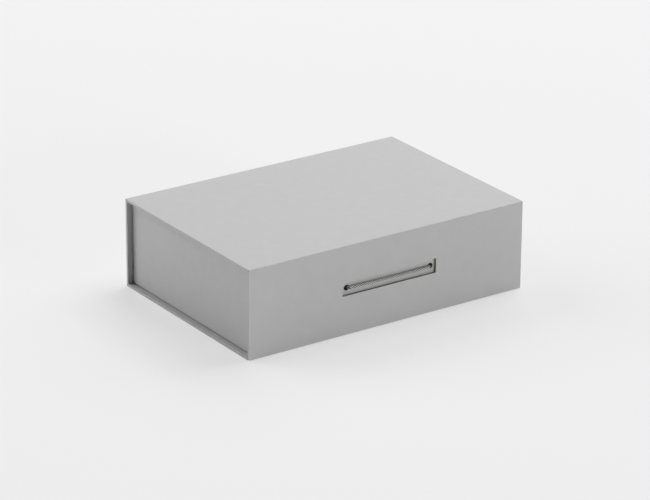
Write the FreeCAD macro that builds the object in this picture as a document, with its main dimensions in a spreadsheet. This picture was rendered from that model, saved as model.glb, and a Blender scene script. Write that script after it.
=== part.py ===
import FreeCAD, Part
import os
import Sketcher

# A book-style rigid gift box. Four greyboard panels (bottom, spine, lid and front flap) are wrapped in
# one sheet of paper and folded round a tray. The flap closes over the tray's front with magnets, and
# has a window for the rope handle, which runs through two holes in the tray's front wall.
# Millimetres. +X is to the right along the front, +Y to the back, +Z up.
# The origin is the middle of the closed case's footprint, on the table.

os.makedirs("parts", exist_ok=True)
doc = FreeCAD.newDocument("GiftBox")

# ---------------------------------------------------------------- driving dimensions
DRIVING_DIMENSIONS = [
    # the closed case
    ("box_width", 330.0),
    ("box_depth", 228.0),
    ("box_height", 95.5),
    ("case_board", 2.5),
    ("paper", 0.2),
    ("turn_in", 15.0),  # wrap paper folded over onto the inner face
    ("lining_inset", 2.5),  # edge of the lining, back from the board's edge
    ("flap_lift", 0.8),  # table to the flap's lower edge
    ("fold_gap", 0.3),  # between the mitred edges of two boards that fold
    ("closing_gap", 0.3),  # between the tray and the closed lid and flap
    # the tray
    ("tray_board", 2.0),
    ("end_overhang", 5.7),  # case past the tray at each end
    ("tray_rear_gap", 1.4),  # between the tray and the spine
    ("tray_tape", 1.0),  # thickness of the double-sided tape that holds the tray down
    ("tray_tape_inset", 7.0),  # tray's outer face to the tape's outer edge
    ("tray_tape_width", 8.0),
    ("rim_turn_in", 20.0),  # wrap paper folded over the rim and down the inside
    ("rim_reveal", 4.0),  # rim to the wall lining's top edge
    ("corner_tape", 0.1),
    ("corner_tape_reach", 15.0),
    ("corner_tape_inset", 3.0),  # tape's ends, back from the board's edges
    # the window in the flap
    ("window_width", 113.4),
    ("window_shift", 0.8),  # its middle, right of the box's middle
    ("window_height", 15.4),
    ("window_level", 49.9),  # its middle, above the table
    # the rope handle
    ("rope_diameter", 4.0),
    ("rope_spacing", 101.4),  # between the two holes
    ("rope_shift", 1.8),  # middle of the two holes, right of the box's middle
    ("hole_level", 49.5),
    ("hole_clearance", 1.1),  # round the rope, in its hole
    ("rope_sag", 0.1),
    ("rope_wall_gap", 0.3),  # between the rope and the tray's front
    ("rope_bend", 3.0),  # radius of the rope's middle line where it turns into a hole
    ("handle_travel", 26.0),
    ("knot_diameter", 13.0),
    ("rope_tail", 7.0),
    # the closing magnets
    ("magnet_diameter", 12.0),
    ("magnet_thickness", 1.5),
    ("magnet_spacing", 220.0),
    ("magnet_level", 24.0),
]

sizes = doc.addObject("Spreadsheet::Sheet", "Sizes")
for row, (alias, number) in enumerate(DRIVING_DIMENSIONS, start=1):
    address = f"A{row}"
    sizes.set(address, str(number))
    sizes.setAlias(address, alias)
doc.recompute()

# ---------------------------------------------------------------- places worked out from them
WIDTH = "Sizes.box_width"
FRONT = "(-Sizes.box_depth / 2)"
BACK = "(Sizes.box_depth / 2)"
TOP = "Sizes.box_height"
PAPER = "Sizes.paper"
BOARD_FACE = "(Sizes.paper + Sizes.case_board)"  # depth of a board's inner face
TURNED_FACE = "(2 * Sizes.paper + Sizes.case_board)"  # depth of the turned-in paper's face
LINED_FACE = "(3 * Sizes.paper + Sizes.case_board)"  # depth of the lining's face
HALF_FOLD = "(Sizes.fold_gap / 2)"

TRAY_FRONT = f"({FRONT} + {LINED_FACE} + Sizes.closing_gap)"
TRAY_BACK = f"({BACK} - {LINED_FACE} - Sizes.tray_rear_gap)"
TRAY_END = "(Sizes.box_width / 2 - Sizes.end_overhang)"
TRAY_BASE = f"({LINED_FACE} + Sizes.tray_tape)"
TRAY_RIM = f"({TOP} - {LINED_FACE} - Sizes.closing_gap)"
WALL_FACE = "(Sizes.paper + Sizes.tray_board)"  # depth of a tray board's inner face

WINDOW_BOTTOM = "(Sizes.window_level - Sizes.window_height / 2)"
WINDOW_TOP = "(Sizes.window_level + Sizes.window_height / 2)"
HOLE_RADIUS = "(Sizes.rope_diameter / 2 + Sizes.hole_clearance)"
HOLE_LEFT = "(Sizes.rope_shift - Sizes.rope_spacing / 2)"
HOLE_RIGHT = "(Sizes.rope_shift + Sizes.rope_spacing / 2)"
ROPE_RADIUS = "(Sizes.rope_diameter / 2)"
ROPE_LINE = f"({TRAY_FRONT} - Sizes.rope_wall_gap - {ROPE_RADIUS})"  # depth of the rope's middle line
ROPE_LEVEL = "(Sizes.hole_level - Sizes.rope_sag)"
TRAY_INSIDE = f"({TRAY_FRONT} + {WALL_FACE} + 2 * Sizes.paper)"  # inner face of the lined front wall
KNOT_FRONT = f"({TRAY_INSIDE} + Sizes.handle_travel + Sizes.rope_wall_gap)"

# ---------------------------------------------------------------- the case's four panels
# Each panel is a stack of layers under one outer face. Depth is counted inwards from that face, and
# each end is either square or mitred, where it gets shorter by as much as it is deep.


def bottom_panel(depth, edge="0"):
    """The bottom's front and rear ends at a depth, as (y, z). Edge sets the square front end back."""
    front_end = (f"{TRAY_FRONT} + {edge}", depth)
    rear_end = (f"{BACK} - {depth}", depth)
    return front_end, rear_end


def spine_panel(depth, edge="0"):
    """The spine's lower and upper ends at a depth; both are mitred."""
    lower_end = (f"{BACK} - {depth}", depth)
    upper_end = (f"{BACK} - {depth}", f"{TOP} - {HALF_FOLD} - {depth}")
    return lower_end, upper_end


def lid_panel(depth, edge="0"):
    """The lid's front and rear ends at a depth; both are mitred."""
    front_end = (f"{FRONT} + {HALF_FOLD} + {depth}", f"{TOP} - {depth}")
    rear_end = (f"{BACK} - {HALF_FOLD} - {depth}", f"{TOP} - {depth}")
    return front_end, rear_end


def flap_panel(depth, edge="0"):
    """The flap's lower and upper ends at a depth. Edge sets the square lower end back."""
    lower_end = (f"{FRONT} + {depth}", f"Sizes.flap_lift + {edge}")
    upper_end = (f"{FRONT} + {depth}", f"{TOP} - {HALF_FOLD} - {depth}")
    return lower_end, upper_end


def layer_outline(panel, outer_depth, inner_depth, edge="0"):
    """The four corners of one layer of a panel, as seen from its end."""
    outer_start, outer_end = panel(outer_depth, edge)
    inner_start, inner_end = panel(inner_depth, edge)
    return [outer_start, outer_end, inner_end, inner_start]


# ---------------------------------------------------------------- modelling helpers


def value(expression):
    """The number that an expression on the sizes gives now."""
    return float(sizes.evalExpression(expression))


def new_body(label):
    body = doc.addObject("PartDesign::Body", label)
    body.Label = label
    return body


def attached_sketch(body, name, role):
    """An empty sketch on one of the body's own origin planes."""
    sketch = body.newObject("Sketcher::SketchObject", name)
    plane = next(feature for feature in body.Origin.OriginFeatures if feature.Role == role)
    sketch.AttachmentSupport = [(plane, "")]
    sketch.MapMode = "FlatFace"
    return sketch


def tie_point(sketch, geometry, point, across, up):
    """Hold one point of a sketch at two expressions, measured from the sketch's origin."""
    for kind, expression in (("DistanceX", across), ("DistanceY", up)):
        start = value(expression)
        number = sketch.addConstraint(Sketcher.Constraint(kind, -1, 1, geometry, point, start))
        sketch.setExpression(f"Constraints[{number}]", expression)


def polygon_sketch(body, name, role, corners):
    """A closed outline of straight edges with every corner tied to the sizes."""
    sketch = attached_sketch(body, name, role)
    places = [FreeCAD.Vector(value(across), value(up), 0) for across, up in corners]
    following = places[1:] + places[:1]
    for start, end in zip(places, following):
        sketch.addGeometry(Part.LineSegment(start, end), False)
    for edge in range(len(corners)):
        next_edge = (edge + 1) % len(corners)
        sketch.addConstraint(Sketcher.Constraint("Coincident", edge, 2, next_edge, 1))
    for edge, (across, up) in enumerate(corners):
        tie_point(sketch, edge, 1, across, up)
    return sketch


def circle_sketch(body, name, role, centres, diameter):
    """Circles of one diameter, each centre tied to the sizes."""
    sketch = attached_sketch(body, name, role)
    upright = FreeCAD.Vector(0, 0, 1)
    for circle, (across, up) in enumerate(centres):
        centre = FreeCAD.Vector(value(across), value(up), 0)
        radius = value(diameter) / 2
        sketch.addGeometry(Part.Circle(centre, upright, radius), False)
        tie_point(sketch, circle, 3, across, up)
        number = sketch.addConstraint(Sketcher.Constraint("Diameter", circle, 2 * radius))
        sketch.setExpression(f"Constraints[{number}]", diameter)
    return sketch


def pad_both_ways(body, sketch, length):
    """Thicken a sketch to both sides of its plane, by the length in all."""
    pad = body.newObject("PartDesign::Pad", f"{sketch.Name}_pad")
    pad.Profile = sketch
    pad.Midplane = True
    pad.setExpression("Length", length)
    doc.recompute()
    return pad


def pocket_both_ways(body, sketch, length=None):
    """Cut a sketch away to both sides of its plane, right through if no length is given."""
    volume_before = body.Shape.Volume
    pocket = body.newObject("PartDesign::Pocket", f"{sketch.Name}_pocket")
    pocket.Profile = sketch
    pocket.Midplane = True
    if length is None:
        pocket.Type = "ThroughAll"
    else:
        pocket.setExpression("Length", length)
    doc.recompute()
    if not body.Shape.Volume < volume_before:
        raise RuntimeError(f"{body.Label}: {sketch.Name} cuts nothing away")
    return pocket


def block(name, low, high):
    """A rectangular block between two corners, each given as three expressions."""
    solid = doc.addObject("Part::Box", name)
    for side, axis, start, end in zip(("Length", "Width", "Height"), "xyz", low, high):
        solid.setExpression(side, f"({end}) - ({start})")
        solid.setExpression(f"Placement.Base.{axis}", start)
    return solid


def rod(name, centre, radius, length):
    """A cylinder that runs towards +Y from its centre point."""
    solid = doc.addObject("Part::Cylinder", name)
    solid.Placement.Rotation = FreeCAD.Rotation(FreeCAD.Vector(1, 0, 0), -90)
    solid.setExpression("Radius", radius)
    solid.setExpression("Height", length)
    for axis, place in zip("xyz", centre):
        solid.setExpression(f"Placement.Base.{axis}", place)
    return solid


def cut(name, base, tool):
    result = doc.addObject("Part::Cut", name)
    result.Base = base
    result.Tool = tool
    return result


def fuse(name, shapes):
    result = doc.addObject("Part::MultiFuse", name)
    result.Shapes = shapes
    result.Refine = True
    return result


def together(name, shapes):
    """Separate solids kept side by side in one sub-part."""
    result = doc.addObject("Part::Compound", name)
    result.Links = shapes
    return result


# ---------------------------------------------------------------- boards, wraps and linings of the case
def panel_board(label, panel):
    """A greyboard panel: the layer between the wrap and the lining, inside the turned-over edges."""
    body = new_body(label)
    outline = layer_outline(panel, PAPER, BOARD_FACE, edge=PAPER)
    sketch = polygon_sketch(body, f"{label}_profile", "YZ_Plane", outline)
    pad_both_ways(body, sketch, f"{WIDTH} - 2 * {PAPER}")
    return body


def panel_wrap(label, panel):
    """The wrap paper of one panel: its outer face, its free edges and the margins turned in."""
    body = new_body(label)
    envelope = layer_outline(panel, "0", TURNED_FACE)
    pad_both_ways(body, polygon_sketch(body, f"{label}_envelope", "YZ_Plane", envelope), WIDTH)
    inside = layer_outline(panel, PAPER, BOARD_FACE, edge=PAPER)
    board_room = polygon_sketch(body, f"{label}_board_room", "YZ_Plane", inside)
    pocket_both_ways(body, board_room, f"{WIDTH} - 2 * {PAPER}")
    bare = layer_outline(panel, BOARD_FACE, TURNED_FACE, edge="Sizes.turn_in")
    bare_middle = polygon_sketch(body, f"{label}_bare_middle", "YZ_Plane", bare)
    pocket_both_ways(body, bare_middle, f"{WIDTH} - 2 * Sizes.turn_in")
    return body


def panel_lining(label, panel, wrap):
    """The lining paper: it lies on the board and laps over the turned-in margins."""
    body = new_body(f"{label}_sheet")
    outline = layer_outline(panel, BOARD_FACE, LINED_FACE, edge="Sizes.lining_inset")
    sketch = polygon_sketch(body, f"{label}_profile", "YZ_Plane", outline)
    pad_both_ways(body, sketch, f"{WIDTH} - 2 * Sizes.lining_inset")
    lining = cut(label, body, wrap)
    lining.Label = label
    return lining


def window_outline():
    """The flap's window, as seen from the front."""
    left = "(Sizes.window_shift - Sizes.window_width / 2)"
    right = "(Sizes.window_shift + Sizes.window_width / 2)"
    return [(left, WINDOW_BOTTOM), (right, WINDOW_BOTTOM), (right, WINDOW_TOP), (left, WINDOW_TOP)]


def magnet_centres():
    """The two magnets' middles, as seen from the front."""
    side = "Sizes.magnet_spacing / 2"
    return [(f"-{side}", "Sizes.magnet_level"), (side, "Sizes.magnet_level")]


def hole_centres():
    """The two rope holes' middles, as seen from the front."""
    return [(HOLE_LEFT, "Sizes.hole_level"), (HOLE_RIGHT, "Sizes.hole_level")]


def sink_magnets(body, middle_depth):
    """Round pockets for the magnets, with their mid-thickness at a place along Y."""
    sketch = circle_sketch(body, f"{body.Label}_magnet_pockets", "XZ_Plane", magnet_centres(),
                           "Sizes.magnet_diameter")
    sketch.setExpression("AttachmentOffset.Base.z", f"-({middle_depth})")
    pocket_both_ways(body, sketch, "Sizes.magnet_thickness")


def magnets(label, middle_depth):
    """A pair of disc magnets."""
    discs = []
    for number, (across, up) in enumerate(magnet_centres(), start=1):
        start = f"{middle_depth} - Sizes.magnet_thickness / 2"
        radius = "Sizes.magnet_diameter / 2"
        disc = rod(f"{label}_{number}", (across, start, up), radius, "Sizes.magnet_thickness")
        discs.append(disc)
    return together(label, discs)


def flap_window(body):
    """The window goes right through the flap."""
    pocket_both_ways(body, polygon_sketch(body, f"{body.Label}_window", "XZ_Plane", window_outline()))


PANELS = {"bottom": bottom_panel, "spine": spine_panel, "lid": lid_panel, "flap": flap_panel}
FLAP_MAGNET_DEPTH = f"({FRONT} + {BOARD_FACE} - Sizes.magnet_thickness / 2)"
TRAY_MAGNET_DEPTH = f"({TRAY_FRONT} + Sizes.paper + Sizes.magnet_thickness / 2)"

subparts = {}
for panel_name, panel in PANELS.items():
    subparts[f"{panel_name}_board"] = panel_board(f"{panel_name}_board", panel)
    subparts[f"{panel_name}_wrap"] = panel_wrap(f"{panel_name}_wrap", panel)
flap_window(subparts["flap_board"])
flap_window(subparts["flap_wrap"])
sink_magnets(subparts["flap_board"], FLAP_MAGNET_DEPTH)
subparts["flap_magnets"] = magnets("flap_magnets", FLAP_MAGNET_DEPTH)
for panel_name, panel in PANELS.items():
    lining_name = f"{panel_name}_lining"
    wrap = subparts[f"{panel_name}_wrap"]
    subparts[lining_name] = panel_lining(lining_name, panel, wrap)
flap_window(subparts["flap_lining"].Base)


# ---------------------------------------------------------------- the tray
def tray_block(name, inset, low_z, high_z):
    """A block that stands back from the tray's four outer faces by the inset."""
    low = (f"{inset} - {TRAY_END}", f"{TRAY_FRONT} + {inset}", low_z)
    high = (f"{TRAY_END} - {inset}", f"{TRAY_BACK} - {inset}", high_z)
    return block(name, low, high)


FLOOR_BOTTOM = f"({TRAY_BASE} + {PAPER})"
FLOOR_TOP = f"({FLOOR_BOTTOM} + Sizes.tray_board)"
WALL_TOP = f"({TRAY_RIM} - {PAPER})"
WALL_FRONT = f"({TRAY_FRONT} + {PAPER})"
WALL_BACK = f"({TRAY_BACK} - {PAPER})"
WALL_END = f"({TRAY_END} - {PAPER})"
RIM_FACE = f"({WALL_FACE} + {PAPER})"  # depth of the paper turned down inside
TRAY_LINED_FACE = f"({WALL_FACE} + 2 * {PAPER})"  # depth of the wall lining's face


def rope_hole_rods(name):
    """Two rods where the rope's holes run through the tray's front."""
    rods = []
    length = f"{TRAY_INSIDE} - {FRONT} + {PAPER}"
    for side, (across, up) in zip(("left", "right"), hole_centres()):
        rods.append(rod(f"{name}_{side}", (across, FRONT, up), HOLE_RADIUS, length))
    return rods


def tray_front_board():
    """The front wall's board, with the rope's two holes and the magnets' pockets."""
    body = new_body("tray_front_board")
    inner_face = f"{TRAY_FRONT} + {WALL_FACE}"
    low_edge = [(WALL_FRONT, FLOOR_TOP), (inner_face, FLOOR_TOP)]
    high_edge = [(inner_face, WALL_TOP), (WALL_FRONT, WALL_TOP)]
    outline = low_edge + high_edge
    pad_both_ways(body, polygon_sketch(body, "tray_front_profile", "YZ_Plane", outline), f"2 * {WALL_END}")
    holes = circle_sketch(body, "rope_holes", "XZ_Plane", hole_centres(), f"2 * {HOLE_RADIUS}")
    pocket_both_ways(body, holes)
    sink_magnets(body, TRAY_MAGNET_DEPTH)
    return body


def tray_corner_tapes():
    """Four strips of stay tape, each bent round one corner of the boards."""
    tape_low = f"{FLOOR_BOTTOM} + Sizes.corner_tape_inset"
    tape_high = f"{WALL_TOP} - Sizes.corner_tape_inset"
    outside = tray_block("tape_outside", f"({PAPER} - Sizes.corner_tape)", tape_low, tape_high)
    boards = tray_block("tape_boards", PAPER, tape_low, tape_high)
    sleeve = cut("tape_sleeve", outside, boards)
    corner_blocks = []
    for end_name, end in (("left", f"-{TRAY_END}"), ("right", TRAY_END)):
        for side_name, side in (("front", TRAY_FRONT), ("rear", TRAY_BACK)):
            reach = "(Sizes.corner_tape_reach + Sizes.paper)"
            low = (f"{end} - {reach}", f"{side} - {reach}", tape_low)
            high = (f"{end} + {reach}", f"{side} + {reach}", tape_high)
            corner_blocks.append(block(f"tape_{end_name}_{side_name}", low, high))
    corners = together("tape_corners", corner_blocks)
    tapes = doc.addObject("Part::Common", "tray_corner_tapes")
    tapes.Base = sleeve
    tapes.Tool = corners
    return tapes


def tray_wrap(tapes):
    """Wrap paper: up the outside, over the rim and down inside, and turned under the floor's edge."""
    turned_to = f"({TRAY_RIM} - Sizes.rim_turn_in)"
    above = f"({TRAY_RIM} + Sizes.tray_board)"
    skin = cut(
        "tray_skin",
        tray_block("tray_envelope", "0", TRAY_BASE, TRAY_RIM),
        tray_block("tray_boards_room", PAPER, FLOOR_BOTTOM, WALL_TOP),
    )
    turned_down = cut(
        "tray_turned_down",
        tray_block("tray_rim_outer", WALL_FACE, turned_to, TRAY_RIM),
        tray_block("tray_rim_inner", RIM_FACE, turned_to, above),
    )
    paper_sheet = fuse("tray_paper_sheet", [skin, turned_down])
    openings = [
        tray_block("tray_mouth", RIM_FACE, WALL_TOP, above),
        tray_block("tray_bare_floor", "Sizes.turn_in", "0", FLOOR_BOTTOM),
        tapes,
    ]
    openings += rope_hole_rods("wrap_hole")
    return cut("tray_wrap", paper_sheet, fuse("tray_wrap_openings", openings))


def tray_wall_lining(wrap):
    """Lining paper round the inside of the walls, lapped over the paper turned down from the rim."""
    top = f"{TRAY_RIM} - Sizes.rim_reveal"
    sleeve = cut(
        "wall_lining_sleeve",
        tray_block("wall_lining_outer", WALL_FACE, FLOOR_TOP, top),
        tray_block("wall_lining_inner", TRAY_LINED_FACE, FLOOR_TOP, top),
    )
    openings = [wrap] + rope_hole_rods("lining_hole")
    return cut("tray_wall_lining", sleeve, fuse("wall_lining_openings", openings))


def tray_mounting_tape():
    """Double-sided tape in a ring, between the bottom's lining and the paper turned under the tray."""
    inner = "(Sizes.tray_tape_inset + Sizes.tray_tape_width)"
    return cut(
        "tray_mounting_tape",
        tray_block("mounting_tape_outer", "Sizes.tray_tape_inset", LINED_FACE, TRAY_BASE),
        tray_block("mounting_tape_inner", inner, "0", TRAY_BASE),
    )


subparts["tray_mounting_tape"] = tray_mounting_tape()
subparts["tray_floor_board"] = tray_block("tray_floor_board", PAPER, FLOOR_BOTTOM, FLOOR_TOP)
subparts["tray_front_board"] = tray_front_board()
subparts["tray_rear_board"] = block(
    "tray_rear_board",
    (f"-{WALL_END}", f"{TRAY_BACK} - {WALL_FACE}", FLOOR_TOP),
    (WALL_END, WALL_BACK, WALL_TOP),
)
for side_name, low_x, high_x in (
    ("left", f"-{WALL_END}", f"{WALL_FACE} - {TRAY_END}"),
    ("right", f"{TRAY_END} - {WALL_FACE}", WALL_END),
):
    subparts[f"tray_{side_name}_board"] = block(
        f"tray_{side_name}_board",
        (low_x, f"{TRAY_FRONT} + {WALL_FACE}", FLOOR_TOP),
        (high_x, f"{TRAY_BACK} - {WALL_FACE}", WALL_TOP),
    )
subparts["tray_corner_tapes"] = tray_corner_tapes()
subparts["tray_wrap"] = tray_wrap(subparts["tray_corner_tapes"])
subparts["tray_wall_lining"] = tray_wall_lining(subparts["tray_wrap"])
subparts["tray_floor_lining"] = tray_block(
    "tray_floor_lining", TRAY_LINED_FACE, FLOOR_TOP, f"{FLOOR_TOP} + {PAPER}"
)
subparts["tray_magnets"] = magnets("tray_magnets", TRAY_MAGNET_DEPTH)


# ---------------------------------------------------------------- the rope handle
def rope_bend(name, hole, inward_turn):
    """A quarter turn of the rope, from its front run into one hole."""
    bend = doc.addObject("Part::Torus", name)
    bend.setExpression("Radius1", "Sizes.rope_bend")
    bend.setExpression("Radius2", ROPE_RADIUS)
    bend.Angle3 = 90
    first_angle = -90 if inward_turn < 0 else 180
    bend.Placement.Rotation = FreeCAD.Rotation(FreeCAD.Vector(0, 0, 1), first_angle)
    bend.setExpression("Placement.Base.x", f"{hole} + {inward_turn} * Sizes.rope_bend")
    bend.setExpression("Placement.Base.y", f"{ROPE_LINE} + Sizes.rope_bend")
    bend.setExpression("Placement.Base.z", ROPE_LEVEL)
    return bend


def stopper_knot(name, hole):
    """The knot that stops the rope behind the wall, as one rounded lump."""
    knot = doc.addObject("Part::Sphere", name)
    knot.setExpression("Radius", "Sizes.knot_diameter / 2")
    knot.setExpression("Placement.Base.x", hole)
    knot.setExpression("Placement.Base.y", f"{KNOT_FRONT} + Sizes.knot_diameter / 2")
    knot.setExpression("Placement.Base.z", ROPE_LEVEL)
    return knot


def handle_rope():
    """The rope: a straight run across the window, a bend at each hole, a leg inside and a knot."""
    front_run = doc.addObject("Part::Cylinder", "rope_front_run")
    front_run.Placement.Rotation = FreeCAD.Rotation(FreeCAD.Vector(0, 1, 0), 90)
    front_run.setExpression("Radius", ROPE_RADIUS)
    front_run.setExpression("Height", "Sizes.rope_spacing - 2 * Sizes.rope_bend")
    front_run.setExpression("Placement.Base.x", f"{HOLE_LEFT} + Sizes.rope_bend")
    front_run.setExpression("Placement.Base.y", ROPE_LINE)
    front_run.setExpression("Placement.Base.z", ROPE_LEVEL)
    stretches = [front_run]
    leg_start = f"({ROPE_LINE} + Sizes.rope_bend)"
    leg_length = f"{KNOT_FRONT} + Sizes.knot_diameter + Sizes.rope_tail - {leg_start}"
    for side_name, hole, inward_turn in (("left", HOLE_LEFT, 1), ("right", HOLE_RIGHT, -1)):
        stretches.append(rope_bend(f"rope_bend_{side_name}", hole, inward_turn))
        stretches.append(rod(f"rope_leg_{side_name}", (hole, leg_start, ROPE_LEVEL), ROPE_RADIUS, leg_length))
        stretches.append(stopper_knot(f"rope_knot_{side_name}", hole))
    return fuse("handle_rope", stretches)


subparts["handle_rope"] = handle_rope()

# ---------------------------------------------------------------- checks and files
doc.recompute()
for item in doc.Objects:
    if "Invalid" in item.State or "Error" in item.State:
        raise RuntimeError(f"{item.Label} did not compute: {item.State}")
for label, item in subparts.items():
    item.Label = label
    if item.Shape.isNull() or not item.Shape.isValid():
        raise RuntimeError(f"{label} has no valid shape")
for label, item in subparts.items():
    item.Shape.exportStep(f"parts/{label}.step")
    print(f"{label:20s} {len(item.Shape.Solids)} solid(s), {item.Shape.Volume:12.2f} mm3")
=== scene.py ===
import math

import bpy
import numpy as np
from mathutils import Matrix, Vector


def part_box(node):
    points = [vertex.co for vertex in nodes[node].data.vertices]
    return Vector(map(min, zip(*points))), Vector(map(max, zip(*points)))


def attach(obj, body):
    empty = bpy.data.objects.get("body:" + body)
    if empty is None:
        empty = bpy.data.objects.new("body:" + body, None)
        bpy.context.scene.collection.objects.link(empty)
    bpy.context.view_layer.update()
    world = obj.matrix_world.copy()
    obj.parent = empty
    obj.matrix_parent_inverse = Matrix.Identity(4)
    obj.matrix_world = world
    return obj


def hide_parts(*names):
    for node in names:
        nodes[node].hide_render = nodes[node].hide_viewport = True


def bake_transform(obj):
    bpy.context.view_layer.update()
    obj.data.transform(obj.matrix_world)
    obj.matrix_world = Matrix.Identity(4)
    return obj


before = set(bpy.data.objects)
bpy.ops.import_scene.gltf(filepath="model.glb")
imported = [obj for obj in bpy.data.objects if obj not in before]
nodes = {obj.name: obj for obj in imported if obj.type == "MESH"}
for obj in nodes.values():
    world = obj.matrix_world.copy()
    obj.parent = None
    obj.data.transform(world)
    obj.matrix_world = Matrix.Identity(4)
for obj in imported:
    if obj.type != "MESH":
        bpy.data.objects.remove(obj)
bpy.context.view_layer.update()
MM = 0.001

# ------------------------------------------------------------------ places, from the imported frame
HALF_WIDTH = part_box("lid_wrap")[1].x
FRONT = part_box("flap_wrap")[0].y
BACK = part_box("spine_wrap")[1].y
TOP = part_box("lid_wrap")[1].z
FLAP_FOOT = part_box("flap_wrap")[0].z
BOTTOM_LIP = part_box("bottom_wrap")[0].y
CASE_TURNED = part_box("bottom_wrap")[1].z  # depth of the turned-in paper's face
HALF_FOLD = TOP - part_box("spine_wrap")[1].z
TRAY_LOW, TRAY_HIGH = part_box("tray_wrap")
TAPE_LOW, TAPE_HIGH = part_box("tray_corner_tapes")
ROPE_LOW, ROPE_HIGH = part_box("handle_rope")

PAPER = 0.2 * MM
TURN_IN = 15 * MM
EDGE_ROUND = 0.3 * MM  # paper pulled round a board's edge
FOLD_ROUND = 0.8 * MM  # paper's outer face at a fold between two boards
WINDOW = {"low_x": -55.9 * MM, "high_x": 57.5 * MM, "low_z": 42.2 * MM, "high_z": 57.6 * MM}
HOLES_X = (-48.9 * MM, 52.5 * MM)
HOLE_Z = 49.5 * MM
HOLE_RADIUS = 3.1 * MM
TAPE = 0.1 * MM
TAPE_REACH = 15 * MM
ROPE_RADIUS = 2.0 * MM
KNOT_RADIUS = 6.5 * MM

# ------------------------------------------------------------------ colours and materials


def linear(hex_colour):
    """An sRGB hex colour as linear RGBA."""
    srgb = np.array([int(hex_colour[k:k + 2], 16) for k in (1, 3, 5)]) / 255
    low = srgb / 12.92
    high = ((srgb + 0.055) / 1.055) ** 2.4
    return tuple(np.where(srgb <= 0.04045, low, high).tolist()) + (1.0,)


def new_material(name):
    """A node material with one Principled shader, as material, node tree and shader."""
    material = bpy.data.materials.new(name)
    material.use_nodes = True
    tree = material.node_tree
    tree.nodes.clear()
    shader = tree.nodes.new("ShaderNodeBsdfPrincipled")
    output = tree.nodes.new("ShaderNodeOutputMaterial")
    tree.links.new(shader.outputs["BSDF"], output.inputs["Surface"])
    return material, tree, shader


def node(tree, kind, inputs=(), **settings):
    """Adds a node. Each input is (socket, value), and a value is a number, a colour or a node's output."""
    added = tree.nodes.new(kind)
    for key, setting in settings.items():
        setattr(added, key, setting)
    for socket, value in inputs:
        if isinstance(value, bpy.types.NodeSocket):
            tree.links.new(value, added.inputs[socket])
        else:
            added.inputs[socket].default_value = value
    return added


def paper_material(name, colour, dark, light, tooth_mm, tooth_depth_mm, roughness):
    """Dyed paper: fibres mottle its colour, and its felt-marked tooth makes it matt."""
    material, tree, shader = new_material(name)
    place = node(tree, "ShaderNodeTexCoord").outputs["Object"]
    tooth = node(tree, "ShaderNodeTexNoise", [
        ("Vector", place), ("Scale", 1 / (tooth_mm * MM)), ("Detail", 3.0), ("Roughness", 0.6)])
    # pulp clouds, about 12 mm across in the real sheet
    cloud = node(tree, "ShaderNodeTexNoise", [
        ("Vector", place), ("Scale", 1 / (12 * MM)), ("Detail", 2.0), ("Roughness", 0.5)])
    mottle = node(tree, "ShaderNodeMath", [(0, tooth.outputs["Fac"]), (1, cloud.outputs["Fac"])],
                  operation="ADD")
    shade = node(tree, "ShaderNodeMapRange", [
        ("Value", mottle.outputs[0]), ("From Min", 0.7), ("From Max", 1.3)])
    tint = node(tree, "ShaderNodeMix", [
        ("Factor", shade.outputs[0]), (6, linear(dark)), (7, linear(light))], data_type="RGBA")
    # painted highlight: where the sheet is folded or rounded, its colour is drawn paler, standing in for the
    # light that the round catches
    fold = node(tree, "ShaderNodeAttribute", attribute_name="fold")
    fold_highlight = node(tree, "ShaderNodeMix", [
        ("Factor", fold.outputs["Fac"]), (6, tint.outputs[2]), (7, linear(colour))], data_type="RGBA")
    tree.links.new(fold_highlight.outputs[2], shader.inputs["Base Color"])
    matt = node(tree, "ShaderNodeMapRange", [
        ("Value", tooth.outputs["Fac"]), ("From Min", 0.3), ("From Max", 0.7),
        ("To Min", roughness - 0.06), ("To Max", roughness + 0.06)])
    tree.links.new(matt.outputs[0], shader.inputs["Roughness"])
    relief = node(tree, "ShaderNodeBump", [
        ("Height", tooth.outputs["Fac"]), ("Distance", tooth_depth_mm * MM), ("Strength", 0.5)])
    tree.links.new(relief.outputs["Normal"], shader.inputs["Normal"])
    shader.inputs["IOR"].default_value = 1.45
    return material


def board_material():
    """Greyboard: recycled pulp, warm grey with dark and pale specks, furry where it is cut."""
    material, tree, shader = new_material("greyboard_cut")
    place = node(tree, "ShaderNodeTexCoord").outputs["Object"]
    # plies run with the sheet; specks are about 0.6 mm
    pulp = node(tree, "ShaderNodeTexNoise", [
        ("Vector", place), ("Scale", 1 / (0.6 * MM)), ("Detail", 4.0), ("Roughness", 0.7)])
    ramp = node(tree, "ShaderNodeValToRGB", [("Fac", pulp.outputs["Fac"])])
    ramp.color_ramp.elements[0].position = 0.32
    ramp.color_ramp.elements[0].color = linear("#746C62")
    ramp.color_ramp.elements[1].position = 0.66
    ramp.color_ramp.elements[1].color = linear("#A39B90")
    tree.links.new(ramp.outputs["Color"], shader.inputs["Base Color"])
    relief = node(tree, "ShaderNodeBump", [
        ("Height", pulp.outputs["Fac"]), ("Distance", 0.15 * MM), ("Strength", 0.7)])
    tree.links.new(relief.outputs["Normal"], shader.inputs["Normal"])
    shader.inputs["Roughness"].default_value = 0.9
    shader.inputs["IOR"].default_value = 1.45
    return material


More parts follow.
